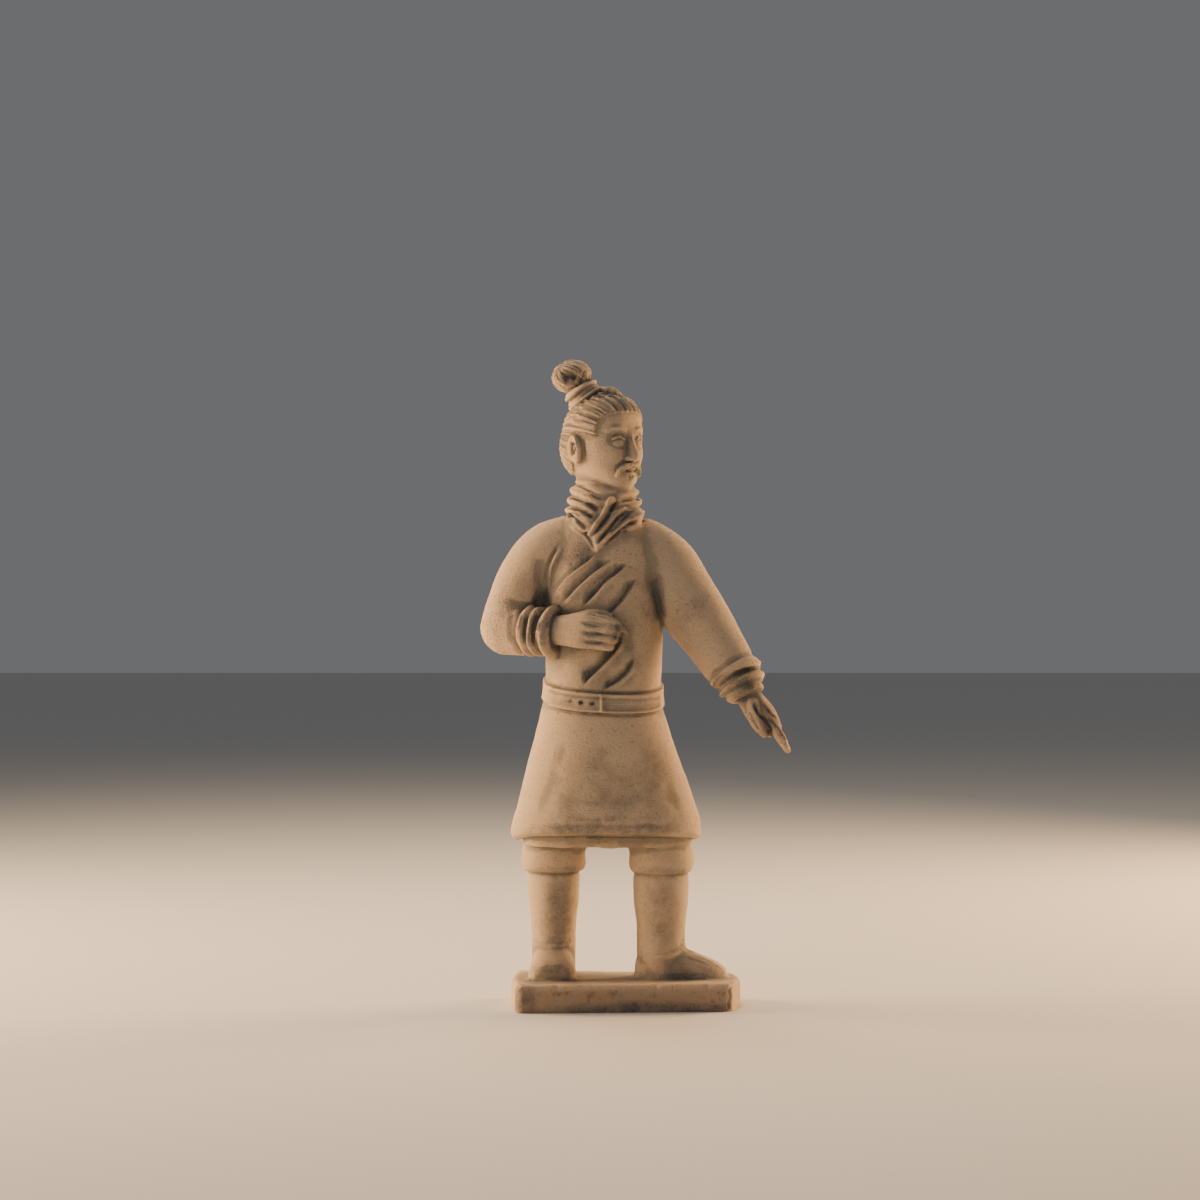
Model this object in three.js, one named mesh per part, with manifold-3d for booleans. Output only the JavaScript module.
// A standing warrior in a wrapped robe, moulded in fired clay in one piece with its low base.
// Millimetres, +Z up. The figure faces -Y and its left hand side is +X, so "right" and "left" below are the
// figure's own. The origin is the middle of the base's underside.

import * as THREE from "three";
import { mergeVertices } from "three/addons/utils/BufferGeometryUtils.js";
import Module from "manifold-3d";

const wasm = await Module();
wasm.setup();

// ---- Driving dimensions ----

const HEIGHT = 200; // underside of the base to the top of the hair bun
const BASE_THICK = 8.5;
const BASE_FRONT = -21;
const BASE_BACK = 21;
const BASE_HALF_LENGTH = 35.7;
const BASE_EDGE = 1.1; // rounding of the base's upper edges
const BODY_X = -6.9; // the trunk stands off the base's middle, because the left foot points outwards
const HEM_Z = 51.2; // underside of the robe's hem
const BELT_Z = 97.3;
const BELT_TALL = 5.3;
const BELT_TILT = 12; // degrees that the belt dips towards the front
const BELT_PROUD = 0.9;
const PLEAT_WIDE = 1.15;
const PLEAT_PROUD = 0.8;
const PLEAT_TAPER = 0.35;
const SCARF_TOP_Z = 163.2;
const HEAD_MIDDLE = new THREE.Vector3(-6.7, -0.6, 174.6);
const HEAD_TURN = THREE.MathUtils.degToRad(45); // the head looks over the left shoulder
const EYE_Z = 0; // eyes are half way down the head, in the head's own frame
const BUN_MIDDLE = new THREE.Vector3(-16.9, 0.2, HEIGHT - 5.0);

const RIGHT = -1;
const LEFT = 1;
const UP = new THREE.Vector3(0, 0, 1);
const BACKWARDS = new THREE.Vector3(0, 1, 0);

const DOME_ANGLE = THREE.MathUtils.degToRad(42); // one row of facets rounds off a domed end
const NEARBY = 0.05; // the share of a span over which a path's direction is taken

const point = (x, y, z) => new THREE.Vector3(x, y, z);
const { degToRad, lerp } = THREE.MathUtils;

// ---- Forms ----

/**
 * Smooth values between stations, with station k at parameter k. A station is a cross-section: its middle
 * x, y, z, its half width, its depth in front and behind, and how square it is (2 is an ellipse).
 */
function track(stations) {
  const samples = stations.flatMap(({ x, y, z, wide, front = wide, back = front, square = 2 }) => [
    x, y, z, wide, front, back, square,
  ]);
  const order = stations.map((_, k) => k);
  const cubic = new THREE.CubicInterpolant(order, samples, samples.length / stations.length);
  return (t) => {
    const [x, y, z, wide, front, back, square] = cubic.evaluate(t);
    return { middle: point(x, y, z), wide, front, back, square };
  };
}

const rounded = (share, square) => Math.sign(share) * Math.abs(share) ** (2 / square);

/**
 * A closed form lofted through stations. Each section stands across the path, with its back towards `facing`.
 * `domes` rounds off the first and the last end by that length.
 */
function loft(stations, { around = 16, facing = BACKWARDS, domes = [0, 0] } = {}) {
  const at = track(stations);
  const last = stations.length - 1;
  const dome = (t, length) =>
    length === 0 ? [] : [{ t, push: length * Math.sin(DOME_ANGLE), keep: Math.cos(DOME_ANGLE) }];
  const rings = [
    ...dome(0, -domes[0]),
    ...stations.map((_, t) => ({ t, push: 0, keep: 1 })),
    ...dome(last, domes[1]),
  ].map(({ t, push, keep }) => {
    const section = at(t);
    const [before, after] = [at(Math.max(t - NEARBY, 0)), at(Math.min(t + NEARBY, last))];
    const ahead = after.middle.sub(before.middle).normalize();
    const side = facing.clone().cross(ahead).normalize();
    const face = ahead.clone().cross(side);
    return { ...section, middle: section.middle.addScaledVector(ahead, push), keep, side, face };
  });
  const geometry = new THREE.CylinderGeometry(1, 1, 1, around, rings.length - 1);
  const place = geometry.getAttribute("position");
  for (let i = 0; i < place.count; i++) {
    const ring = rings[Math.round((0.5 - place.getY(i)) * (rings.length - 1))];
    const across = rounded(place.getX(i), ring.square) * ring.wide * ring.keep;
    const depth = place.getZ(i) > 0 ? ring.back : ring.front;
    const deep = rounded(place.getZ(i), ring.square) * depth * ring.keep;
    const p = ring.middle.clone().addScaledVector(ring.side, across).addScaledVector(ring.face, deep);
    place.setXYZ(i, p.x, p.y, p.z);
  }
  return geometry;
}

/** An ellipsoid, turned about its own axes by Euler angles in degrees. */
function ball(middle, radii, { turn = [0, 0, 0], around = 12, rows = 8 } = {}) {
  const turned = new THREE.Quaternion().setFromEuler(new THREE.Euler(...turn.map(degToRad)));
  const place = new THREE.Matrix4().compose(middle, turned, radii);
  return new THREE.SphereGeometry(1, around, rows).applyMatrix4(place);
}

/** A block between two corners. */
function block(low, high) {
  const size = high.clone().sub(low);
  const middle = low.clone().add(high).multiplyScalar(0.5);
  return new THREE.BoxGeometry(size.x, size.y, size.z).translate(middle.x, middle.y, middle.z);
}

/** A round bar through points with a radius at each, domed at both ends. */
function bar(points, radii, options = {}) {
  const stations = points.map(([x, y, z], k) => ({ x, y, z, wide: radii[k] }));
  return loft(stations, { around: 5, domes: [radii[0], radii.at(-1)], ...options });
}

// ---- Joining and cutting ----

function solidOf(geometry) {
  const bare = new THREE.BufferGeometry().setAttribute("position", geometry.getAttribute("position"));
  bare.setIndex(geometry.index);
  const merged = mergeVertices(bare, 1e-4);
  return new wasm.Manifold(
    new wasm.Mesh({
      numProp: 3,
      vertProperties: new Float32Array(merged.attributes.position.array),
      triVerts: new Uint32Array(merged.index.array),
    }),
  );
}

function geometryOf(solid) {
  const { vertProperties, triVerts } = solid.getMesh();
  const geometry = new THREE.BufferGeometry();
  geometry.setAttribute("position", new THREE.BufferAttribute(vertProperties, 3));
  geometry.setIndex(new THREE.BufferAttribute(triVerts, 1));
  geometry.computeVertexNormals();
  return geometry;
}

const joined = (geometries) => geometries.map(solidOf).reduce((whole, next) => whole.add(next));

// ---- The base ----

/** A plan outline with its corners rounded. */
function plan(corners, radius) {
  const outline = new THREE.Shape();
  corners.forEach(([x, y], k) => {
    const here = new THREE.Vector2(x, y);
    const [into, out] = [-1, 1].map((step) => {
      const next = new THREE.Vector2(...corners.at((k + step) % corners.length));
      return next.sub(here).setLength(radius).add(here);
    });
    if (k === 0) outline.moveTo(into.x, into.y);
    else outline.lineTo(into.x, into.y);
    outline.quadraticCurveTo(x, y, out.x, out.y);
  });
  outline.closePath();
  return outline;
}

/** The base is deepest under the right foot, and tapers towards the toe of the left one. */
function base() {
  const length = BASE_HALF_LENGTH;
  const outline = plan(
    [
      [-length + 2.2, BASE_FRONT],
      [length - 3.6, BASE_FRONT + 4.5],
      [length, 0],
      [length - 1.6, BASE_BACK - 7.5],
      [-length + 1.2, BASE_BACK],
      [-length, 0],
    ],
    2.2,
  );
  const slab = new THREE.ExtrudeGeometry(outline, {
    depth: BASE_THICK,
    curveSegments: 2,
    bevelSegments: 2,
    bevelSize: BASE_EDGE,
    bevelThickness: BASE_EDGE,
    bevelOffset: -BASE_EDGE,
  }).translate(0, 0, -BASE_EDGE);
  const below = block(point(-50, -50, -10), point(50, 50, 0));
  return solidOf(slab).subtract(solidOf(below));
}

// ---- Legs and shoes ----

/** A trouser leg: a wrapped shin, and a puffed cuff below the knee that steps over it. */
function leg({ x, y, ankle, calf, knee }) {
  const section = (z, wide) => ({ x, y, z, wide, front: wide * 1.03 });
  return loft(
    [
      section(BASE_THICK - 1, ankle + 0.3),
      section(24, lerp(ankle, calf, 0.3)),
      section(32.5, lerp(ankle, calf, 0.85)),
      section(40.6, calf + 0.1),
      section(41.9, knee - 0.5),
      section(44.3, knee),
      section(48.6, knee + 0.3),
      section(54, knee + 2.2),
    ],
    { around: 12 },
  );
}

/** A low shoe from heel to toe. `profile` lists the distance along the sole, half width and height. */
function shoe(heel, direction, profile) {
  const stations = profile.map(([along, wide, tall]) => ({
    x: heel.x + direction.x * along,
    y: heel.y + direction.y * along,
    z: BASE_THICK,
    wide,
    front: 1.2,
    back: tall,
    square: 2.4,
  }));
  return loft(stations, { around: 10, facing: UP, domes: [1.2, 1.4] });
}

function legsAndShoes() {
  const crotch = [[49.4, 24.4], [50.4, 25.6], [56, 26.2]].map(([z, wide]) => ({
    x: BODY_X + 1.3, y: 1.5, z, wide, front: 12.5, back: 12, square: 3.2,
  }));
  return [
    leg({ x: -22.5, y: 4.2, ankle: 6.4, calf: 8.2, knee: 9.8 }),
    leg({ x: 10.9, y: 0.8, ankle: 7.1, calf: 8.7, knee: 9.9 }),
    loft(crotch, { around: 14 }),
    shoe(point(-22.8, 13.0, 0), point(0, -1, 0), [
      [1, 5.4, 6.4],
      [4, 6.7, 8.4],
      [9, 7.0, 9.2],
      [14, 7.1, 8.0],
      [18, 7.2, 6.0],
      [21.5, 6.6, 4.6],
      [23.2, 5.2, 3.6],
    ]),
    shoe(point(2.8, 0.6, 0), point(1, 0, 0), [
      [1, 5.2, 6.6],
      [4, 6.7, 8.8],
      [9, 7.1, 9.8],
      [15, 7.1, 9.0],
      [20, 6.9, 7.3],
      [24.8, 6.3, 5.3],
      [27.4, 4.9, 3.6],
    ]),
  ];
}

// ---- The robe ----

/** Height, half width, depth in front and behind, and shift to the left, from the hem up to the collar. */
const ROBE = [
  [HEM_Z, 27.6, 18.6, 18.0, 0.7],
  [52.2, 29.1, 20.0, 19.4, 0.7],
  [54.3, 29.5, 20.3, 19.8, 0.7],
  [58.0, 28.8, 19.9, 19.3, 0.6],
  [65.0, 26.7, 18.8, 17.9, 0.3],
  [73.5, 24.2, 17.6, 16.4, -0.1],
  [82.2, 21.6, 16.4, 15.0, -0.4],
  [90.0, 19.3, 15.2, 13.8, -0.5],
  [96.0, 18.0, 14.4, 13.0, -0.3],
  [103.5, 17.9, 14.2, 12.8, 0],
  [116.0, 18.2, 14.4, 13.4, 0],
  [129.0, 18.6, 14.3, 14.0, 0],
  [138.0, 18.0, 13.4, 13.4, 0],
  [144.5, 16.0, 12.2, 12.2, 0],
  [149.5, 12.8, 10.8, 10.8, 0],
  [153.4, 10.2, 8.8, 9.4, 0],
].map(([z, wide, front, back, shift]) => ({
  x: BODY_X + shift, y: 0, z, wide, front, back, square: 2.35,
}));

const robeAt = track(ROBE);

/** How far forward the robe's surface is at a given x and z. */
function robeFront(x, z) {
  let [low, high] = [0, ROBE.length - 1];
  for (let halving = 0; halving < 24; halving++) {
    const t = (low + high) / 2;
    if (robeAt(t).middle.z < z) low = t;
    else high = t;
  }
  const { middle, wide, front, square } = robeAt(low);
  const off = Math.min(Math.abs(x - middle.x) / wide, 0.995);
  return middle.y - front * (1 - off ** square) ** (1 / square);
}

/** The robe with its belt, a band that stands proud of the waist and dips towards the front. */
function robe() {
  const around = 24;
  const trunk = solidOf(loft(ROBE, { around }));
  const girth = ROBE.slice(6, 11).map((s) => ({
    ...s, wide: s.wide + BELT_PROUD, front: s.front + BELT_PROUD, back: s.back + BELT_PROUD,
  }));
  const dip = new THREE.Euler(degToRad(BELT_TILT), degToRad(3), 0);
  const slab = new THREE.BoxGeometry(80, 80, BELT_TALL)
    .applyMatrix4(new THREE.Matrix4().makeRotationFromEuler(dip))
    .translate(BODY_X, 0, BELT_Z);
  const belt = solidOf(loft(girth, { around })).intersect(solidOf(slab));
  return trunk.add(belt);
}

/**
 * A pleat of the wrapped front, from point to point over the robe's surface. It is a lip with a sunk furrow
 * above it, both tapering out at the ends.
 */
function pleat(route) {
  const strip = (offset, proud, buried, half) =>
    loft(
      route.map(([x, z], k) => {
        const [x0, z0] = route[Math.max(k - 1, 0)];
        const [x1, z1] = route[Math.min(k + 1, route.length - 1)];
        const length = Math.hypot(x1 - x0, z1 - z0);
        const [px, pz] = [x + (offset * (z1 - z0)) / length, z - (offset * (x1 - x0)) / length];
        const full = k === 0 || k === route.length - 1 ? PLEAT_TAPER : 1;
        return { x: px, y: robeFront(px, pz), z: pz, wide: half * full, front: proud * full, back: buried };
      }),
      { around: 4, domes: [PLEAT_WIDE, PLEAT_WIDE] },
    );
  return {
    lip: strip(0, PLEAT_PROUD, PLEAT_WIDE, PLEAT_WIDE),
    furrow: strip(PLEAT_WIDE * 1.7, PLEAT_WIDE, PLEAT_PROUD * 1.3, PLEAT_WIDE * 1.1),
  };
}

const PLEATS = [
  [[-9.6, 140.2], [-15.4, 134.6], [-21.6, 128.8], [-22.6, 124.8]],
  [[-5.8, 138.4], [-12.6, 131.6], [-20.2, 124.4]],
  [[-2.4, 134.6], [-8.2, 129.4], [-14.2, 124.4]],
  [[3.4, 132.1], [-0.6, 126.6], [-5.2, 121.0]],
  [[-0.6, 113.2], [-6.6, 106.4], [-12.6, 100.6]],
  [[3.9, 108.4], [0.6, 103.0], [-7.2, 98.4]],
].map(pleat);

// ---- The scarf ----

/** A point round the neck: `angle` is degrees from the front, positive towards the figure's left. */
function roundNeck(angle, z, out = 0) {
  const swell = THREE.MathUtils.smoothstep(z, 146, 160);
  const [wide, deep] = [lerp(13.2, 10.6, swell) + out, lerp(12.4, 9.8, swell) + out];
  const a = degToRad(angle);
  return [BODY_X + wide * Math.sin(a), 0.2 - deep * Math.cos(a), z];
}

/** One fold of the scarf, from the nape round one side of the neck and down to the crossing in front. */
function scarfFold(side, [nape, flank, corner], tip, thick) {
  const points = [[186, nape], [114, lerp(nape, flank, 0.7)], [72, flank], [36, corner]].map(([angle, z]) =>
    roundNeck(side * angle, z, -0.4),
  );
  const end = thick * 0.7;
  return bar([...points, tip], [...points.map(() => thick), end], { facing: UP, domes: [0, end] });
}

/** A point of the crossing in front, standing off the robe by `out`. */
const onChest = (x, z, out = 0) => [x, robeFront(x, Math.min(z, 150)) - out, z];

function scarf() {
  const collar = [
    [147, 13.4, 12.4, 12.4],
    [154, 12.0, 11.1, 11.1],
    [160, 10.8, 9.9, 9.9],
    [SCARF_TOP_Z, 8.4, 7.8, 8.2],
  ].map(([z, wide, front, back]) => ({ x: BODY_X, y: 0, z, wide, front, back }));
  const crossing = [[154, 8.6], [148, 7.4], [143.6, 4.4], [140.4, 1.0]].map(([z, wide]) => ({
    x: BODY_X - 0.6 - (154 - z) * 0.12, y: -9.6, z, wide, front: 3.4, back: 3,
  }));
  return [
    loft(collar, { around: 12 }),
    loft(crossing, { around: 8 }),
    scarfFold(RIGHT, [161.0, 159.6, 157.6], onChest(-6.2, 155.2, 1.2), 1.7),
    scarfFold(RIGHT, [158.0, 156.4, 154.4], onChest(-6.6, 152.2, 1.6), 1.8),
    scarfFold(RIGHT, [154.8, 153.2, 151.2], onChest(-8.8, 148.8, 1.0), 1.8),
    scarfFold(RIGHT, [151.8, 150.2, 148.0], onChest(-11.4, 144.6, 0.4), 1.7),
    scarfFold(LEFT, [161.0, 159.4, 157.8], onChest(-12.0, 145.2, 1.4), 1.9),
    scarfFold(LEFT, [157.8, 155.8, 153.4], onChest(-9.6, 142.0, 1.2), 1.9),
    scarfFold(LEFT, [154.6, 152.4, 149.4], onChest(-7.8, 141.2, 0.4), 1.7),
  ];
}

// ---- Sleeves and arms ----

/** The bent right arm: upper arm, elbow, and a bunched cuff of three ridges that opens across the belly. */
function rightSleeve() {
  const upper = [
    { x: -13.5, y: 0.4, z: 146.5, wide: 7.0 },
    { x: -19.6, y: 0.3, z: 142.4, wide: 9.4 },
    { x: -25.6, y: 0.2, z: 138.2, wide: 9.9 },
    { x: -30.6, y: 0.0, z: 131.6, wide: 9.4 },
    { x: -34.2, y: -0.6, z: 124.2, wide: 8.8 },
    { x: -36.8, y: -2.0, z: 117.0, wide: 8.4 },
  ];
  const elbow = point(-37, -2, 117);
  const ahead = point(0.86, -0.49, -0.075).normalize();
  const forearm = [[0, 8.3], [4.2, 8.1], [7.0, 8.0]];
  const cuff = [[7.9, 7.4], [9.2, 8.3], [11.2, 7.5], [12.8, 8.3], [14.6, 7.2], [16.4, 8.4]];
  const rim = [[18.2, 8.1], [18.8, 7.2]];
  const lower = [...forearm, ...cuff, ...rim].map(([along, wide]) => ({
    ...elbow.clone().addScaledVector(ahead, along), wide,
  }));
  const mouth = elbow.clone().addScaledVector(ahead, 19.6);
  const turn = [0, 0, THREE.MathUtils.radToDeg(Math.atan2(ahead.y, ahead.x))];
  return {
    add: [
      loft(upper, { around: 12, domes: [0, 8.4] }),
      loft(lower, { around: 12, domes: [8.2, 0], facing: UP }),
    ],
    cut: [ball(mouth, point(2.6, 6.2, 6.4), { turn, rows: 6 })],
  };
}

/** The left arm hangs out from the body, with two ridges round its cuff. */
function leftSleeve() {
  const arm = [
    { x: 0.5, y: 0.4, z: 146.2, wide: 6.8 },
    { x: 6.4, y: 0.2, z: 141.6, wide: 9.0 },
    { x: 12.0, y: -0.3, z: 136.2, wide: 10.0 },
    { x: 16.0, y: -1.4, z: 129.9, wide: 10.1 },
    { x: 21.0, y: -3.3, z: 121.6, wide: 9.9 },
    { x: 27.0, y: -6.1, z: 112.9, wide: 8.9 },
    { x: 31.5, y: -8.6, z: 105.8, wide: 8.0 },
    { x: 32.6, y: -9.4, z: 104.3, wide: 7.2 },
    { x: 33.5, y: -10.0, z: 102.9, wide: 8.2 },
    { x: 34.5, y: -10.7, z: 101.1, wide: 6.7 },
    { x: 35.2, y: -11.2, z: 99.5, wide: 7.7 },
    { x: 36.2, y: -11.9, z: 97.3, wide: 6.9 },
    { x: 36.9, y: -12.3, z: 95.8, wide: 5.4 },
  ];
  const mouth = point(37.4, -12.6, 94.9);
  return {
    add: [loft(arm, { around: 12 })],
    cut: [ball(mouth, point(4.3, 4.3, 2.0), { turn: [-17, 31, 0], rows: 6 })],
  };
}

/** The right hand, half closed in front of the belly with its back to the front. */
function rightHand() {
  const palm = [
    { x: -22.5, y: -12.2, z: 116.2, wide: 4.2, front: 3.0 },
    { x: -18.5, y: -15.0, z: 116.4, wide: 4.8, front: 3.2 },
    { x: -13.5, y: -17.2, z: 116.4, wide: 5.4, front: 3.2 },
    { x: -9.5, y: -18.0, z: 116.3, wide: 5.4, front: 2.6 },
  ];
  const fingers = [
    [[-12.0, -18.0, 120.4], [-5.4, -19.2, 119.2], [-1.4, -18.2, 117.0], [-0.2, -15.8, 115.6]],
    [[-12.0, -18.6, 117.7], [-5.2, -19.9, 116.7], [-3.0, -18.4, 115.8], [-3.0, -15.6, 115.2]],
    [[-12.0, -18.5, 115.0], [-5.8, -19.7, 114.2], [-3.9, -18.2, 113.6], [-3.9, -15.4, 113.2]],
    [[-11.6, -17.8, 112.5], [-6.8, -18.6, 111.8], [-5.0, -17.2, 111.4], [-5.0, -14.8, 111.2]],
  ].map((points) => bar(points, [1.6, 1.6, 1.5, 1.2]));
  const thumb = bar([[-17, -15.0, 119.6], [-11, -15.8, 121.0], [-5.5, -15.6, 121.2]], [1.9, 1.8, 1.3]);
  return [loft(palm, { around: 8, domes: [1, 1.6] }), ...fingers, thumb];
}

/** The left hand, open and pointing down, with its palm to the body and its thumb in front. */
function leftHand() {
  const palm = [
    { x: 37.2, y: -12.2, z: 96.4, wide: 3.3, front: 3.4 },
    { x: 40.2, y: -13.4, z: 92.4, wide: 3.4, front: 4.4 },
    { x: 43.0, y: -14.3, z: 88.6, wide: 3.2, front: 5.2 },
    { x: 45.2, y: -14.8, z: 85.6, wide: 2.4, front: 5.2 },
  ];
  const fingers = [-3.9, -1.3, 1.3, 3.8].map((off, k) => {
    const reach = [0.9, 1, 0.95, 0.8][k];
    const root = point(45.2, -14.8 + off, 86.4);
    const bend = root.clone().add(point(2.3, -0.3, -3.6).multiplyScalar(reach));
    const tip = bend.clone().add(point(1.7, 0.4, -3.0).multiplyScalar(reach));
    return bar([root.toArray(), bend.toArray(), tip.toArray()], [1.6, 1.5, 1.05]);
  });
  const thumb = bar([[39.4, -16.6, 94.2], [40.3, -18.4, 88.8], [42.2, -18.2, 84.6]], [2.1, 2.0, 1.2]);
  return [loft(palm, { around: 8, domes: [0, 1.2] }), ...fingers, thumb];
}

// ---- The head ----

/** Cross-sections of the head in its own frame, which faces -Y, from under the chin to the crown. */
const HEAD = [
  [-14.6, 4.2, 10.4, 3.0],
  [-13.0, 6.6, 11.6, 5.2],
  [-10.0, 8.7, 11.6, 9.6],
  [-6.6, 9.9, 11.5, 13.4],
  [-3.0, 10.7, 11.5, 14.6],
  [0.6, 11.0, 11.4, 14.2],
  [4.6, 10.9, 11.5, 12.8],
  [8.4, 10.2, 11.0, 11.0],
  [11.4, 8.6, 9.0, 9.4],
  [13.4, 6.0, 6.0, 6.8],
  [14.5, 2.4, 2.4, 3.0],
].map(([z, wide, front, back]) => ({ x: 0, y: 0, z, wide, front, back, square: 2.25 }));

/** The hair is the head's own form, grown a little, inside the hairline's outline seen from the side. */
function hair() {
  const thick = 0.55;
  const grown = HEAD.map((s) => ({
    ...s, z: s.z + thick, wide: s.wide + thick, front: s.front + thick, back: s.back + thick,
  }));
  const hairline = new THREE.Shape(
    [[-15, 9.6], [-7.2, 9.2], [-7.0, 1.8], [1.6, 1.6], [4.6, -9.6], [17, -11], [17, 17], [-15, 17]].map(
      ([y, z]) => new THREE.Vector2(y, z),
    ),
  );
  const region = new THREE.ExtrudeGeometry(hairline, { depth: 30, bevelEnabled: false })
    .translate(0, 0, -15)
    .applyMatrix4(new THREE.Matrix4().makeBasis(BACKWARDS, UP, point(1, 0, 0)));
  return solidOf(loft(grown, { around: 16 })).intersect(solidOf(region));
}

function nose() {
  const bridge = [
    { x: 0, y: -10.9, z: EYE_Z + 2.6, wide: 1.2, front: 0.8 },
    { x: 0, y: -11.3, z: EYE_Z + 0.2, wide: 1.1, front: 1.0 },
    { x: 0, y: -11.8, z: EYE_Z - 2.6, wide: 1.4, front: 1.8 },
    { x: 0, y: -12.0, z: EYE_Z - 4.8, wide: 2.0, front: 2.7 },
    { x: 0, y: -11.8, z: EYE_Z - 6.2, wide: 2.2, front: 2.0 },
  ];
  return loft(bridge, { around: 6, domes: [0.6, 0.5] });
}

/** What there is on each side of the face: brow, eye, half the moustache, and the ear. */
function faceSide(side) {
  const eye = point(side * 4.3, -10.2, EYE_Z);
  const ear = point(side * 11.0, 1.6, EYE_Z - 2.6);
  return {
    add: [
      bar(
        [[side * 1.8, -11.2, EYE_Z + 2.5], [side * 4.4, -10.9, EYE_Z + 3.6], [side * 7.4, -9.0, EYE_Z + 2.9]],
        [0.8, 0.95, 0.6],
      ),
      ball(eye, point(2.1, 1.1, 1.05), { turn: [0, 0, side * 24], around: 8, rows: 5 }),
      bar(
        [[0.5, -12.3, -7.4], [2.4, -11.9, -7.9], [4.2, -10.9, -9.3], [4.7, -10.3, -10.6]].map(
          ([x, y, z]) => [side * x, y, z],
        ),
        [0.75, 0.85, 0.7, 0.4],
      ),
      ball(ear, point(1.6, 2.9, 4.7), { turn: [-8, 0, side * 14], around: 8, rows: 5 }),
    ],
    cut: ball(ear.clone().add(point(side * 1.5, -0.6, 0.2)), point(0.9, 1.7, 3.0), {
      turn: [-8, 0, side * 14], around: 6, rows: 4,
    }),
  };
}

function mouth() {
  return [
    bar([[-2.4, -11.0, -9.0], [0, -12.0, -8.9], [2.4, -11.0, -9.0]], [0.45, 0.75, 0.45], { facing: UP }),
    bar([[-2.0, -10.9, -10.0], [0, -11.8, -10.2], [2.0, -10.9, -10.0]], [0.45, 0.8, 0.45], { facing: UP }),
  ];
}

function head() {
  const place = new THREE.Matrix4().makeRotationZ(HEAD_TURN).setPosition(HEAD_MIDDLE);
  const sides = [RIGHT, LEFT].map(faceSide);
  const neck = loft(
    [[-24, 7.4], [-16, 7.2], [-10, 7.4]].map(([z, wide]) => ({ x: 0, y: 1.6, z, wide, back: wide + 0.6 })),
    { around: 8 },
  );
  const flesh = [loft(HEAD, { around: 16 }), neck, nose(), ...mouth(), ...sides.flatMap(({ add }) => add)];
  const cuts = sides.map(({ cut }) => cut);
  const whole = joined(flesh).add(hair()).subtract(joined(cuts));
  return solidOf(geometryOf(whole).applyMatrix4(place));
}

/** The hair is drawn up to a round bun over the right side of the head, above a bound stem. */
function bun() {
  const root = point(-11.2, -0.4, 186.0);
  const lean = BUN_MIDDLE.clone().sub(root).normalize();
  const stem = [
    [0, 7.0], [1.6, 6.5], [2.6, 5.7], [3.8, 6.1], [5.0, 5.3], [6.2, 5.6], [7.6, 4.6],
  ].map(([along, wide]) => ({ ...root.clone().addScaledVector(lean, along - 1), wide }));
  return [
    loft(stem, { around: 12 }),
    ball(BUN_MIDDLE, point(6.3, 5.4, 5.0), { turn: [0, -16, 0], around: 12, rows: 8 }),
    ball(point(-5.4, -1.6, 189.6), point(3.9, 2.4, 1.7), { turn: [0, 18, 0], around: 8, rows: 5 }),
  ];
}

// ---- The whole ----

function warrior() {
  const right = rightSleeve();
  const left = leftSleeve();
  const clay = [
    base(),
    robe(),
    joined(legsAndShoes()),
    joined([...right.add, ...left.add]).subtract(joined([...right.cut, ...left.cut])),
    joined(PLEATS.map(({ lip }) => lip)),
  ].reduce((whole, next) => whole.add(next));
  return clay
    .subtract(joined(PLEATS.map(({ furrow }) => furrow)))
    .add(joined([...scarf(), ...rightHand(), ...leftHand(), ...bun()]))
    .add(head());
}

const terracotta = new THREE.MeshStandardMaterial({ color: 0xa9825f, roughness: 0.92, metalness: 0 });
const statue = new THREE.Mesh(geometryOf(warrior()), terracotta);
statue.name = "warrior_statue";

const group = new THREE.Group();
group.add(statue);

export default group;
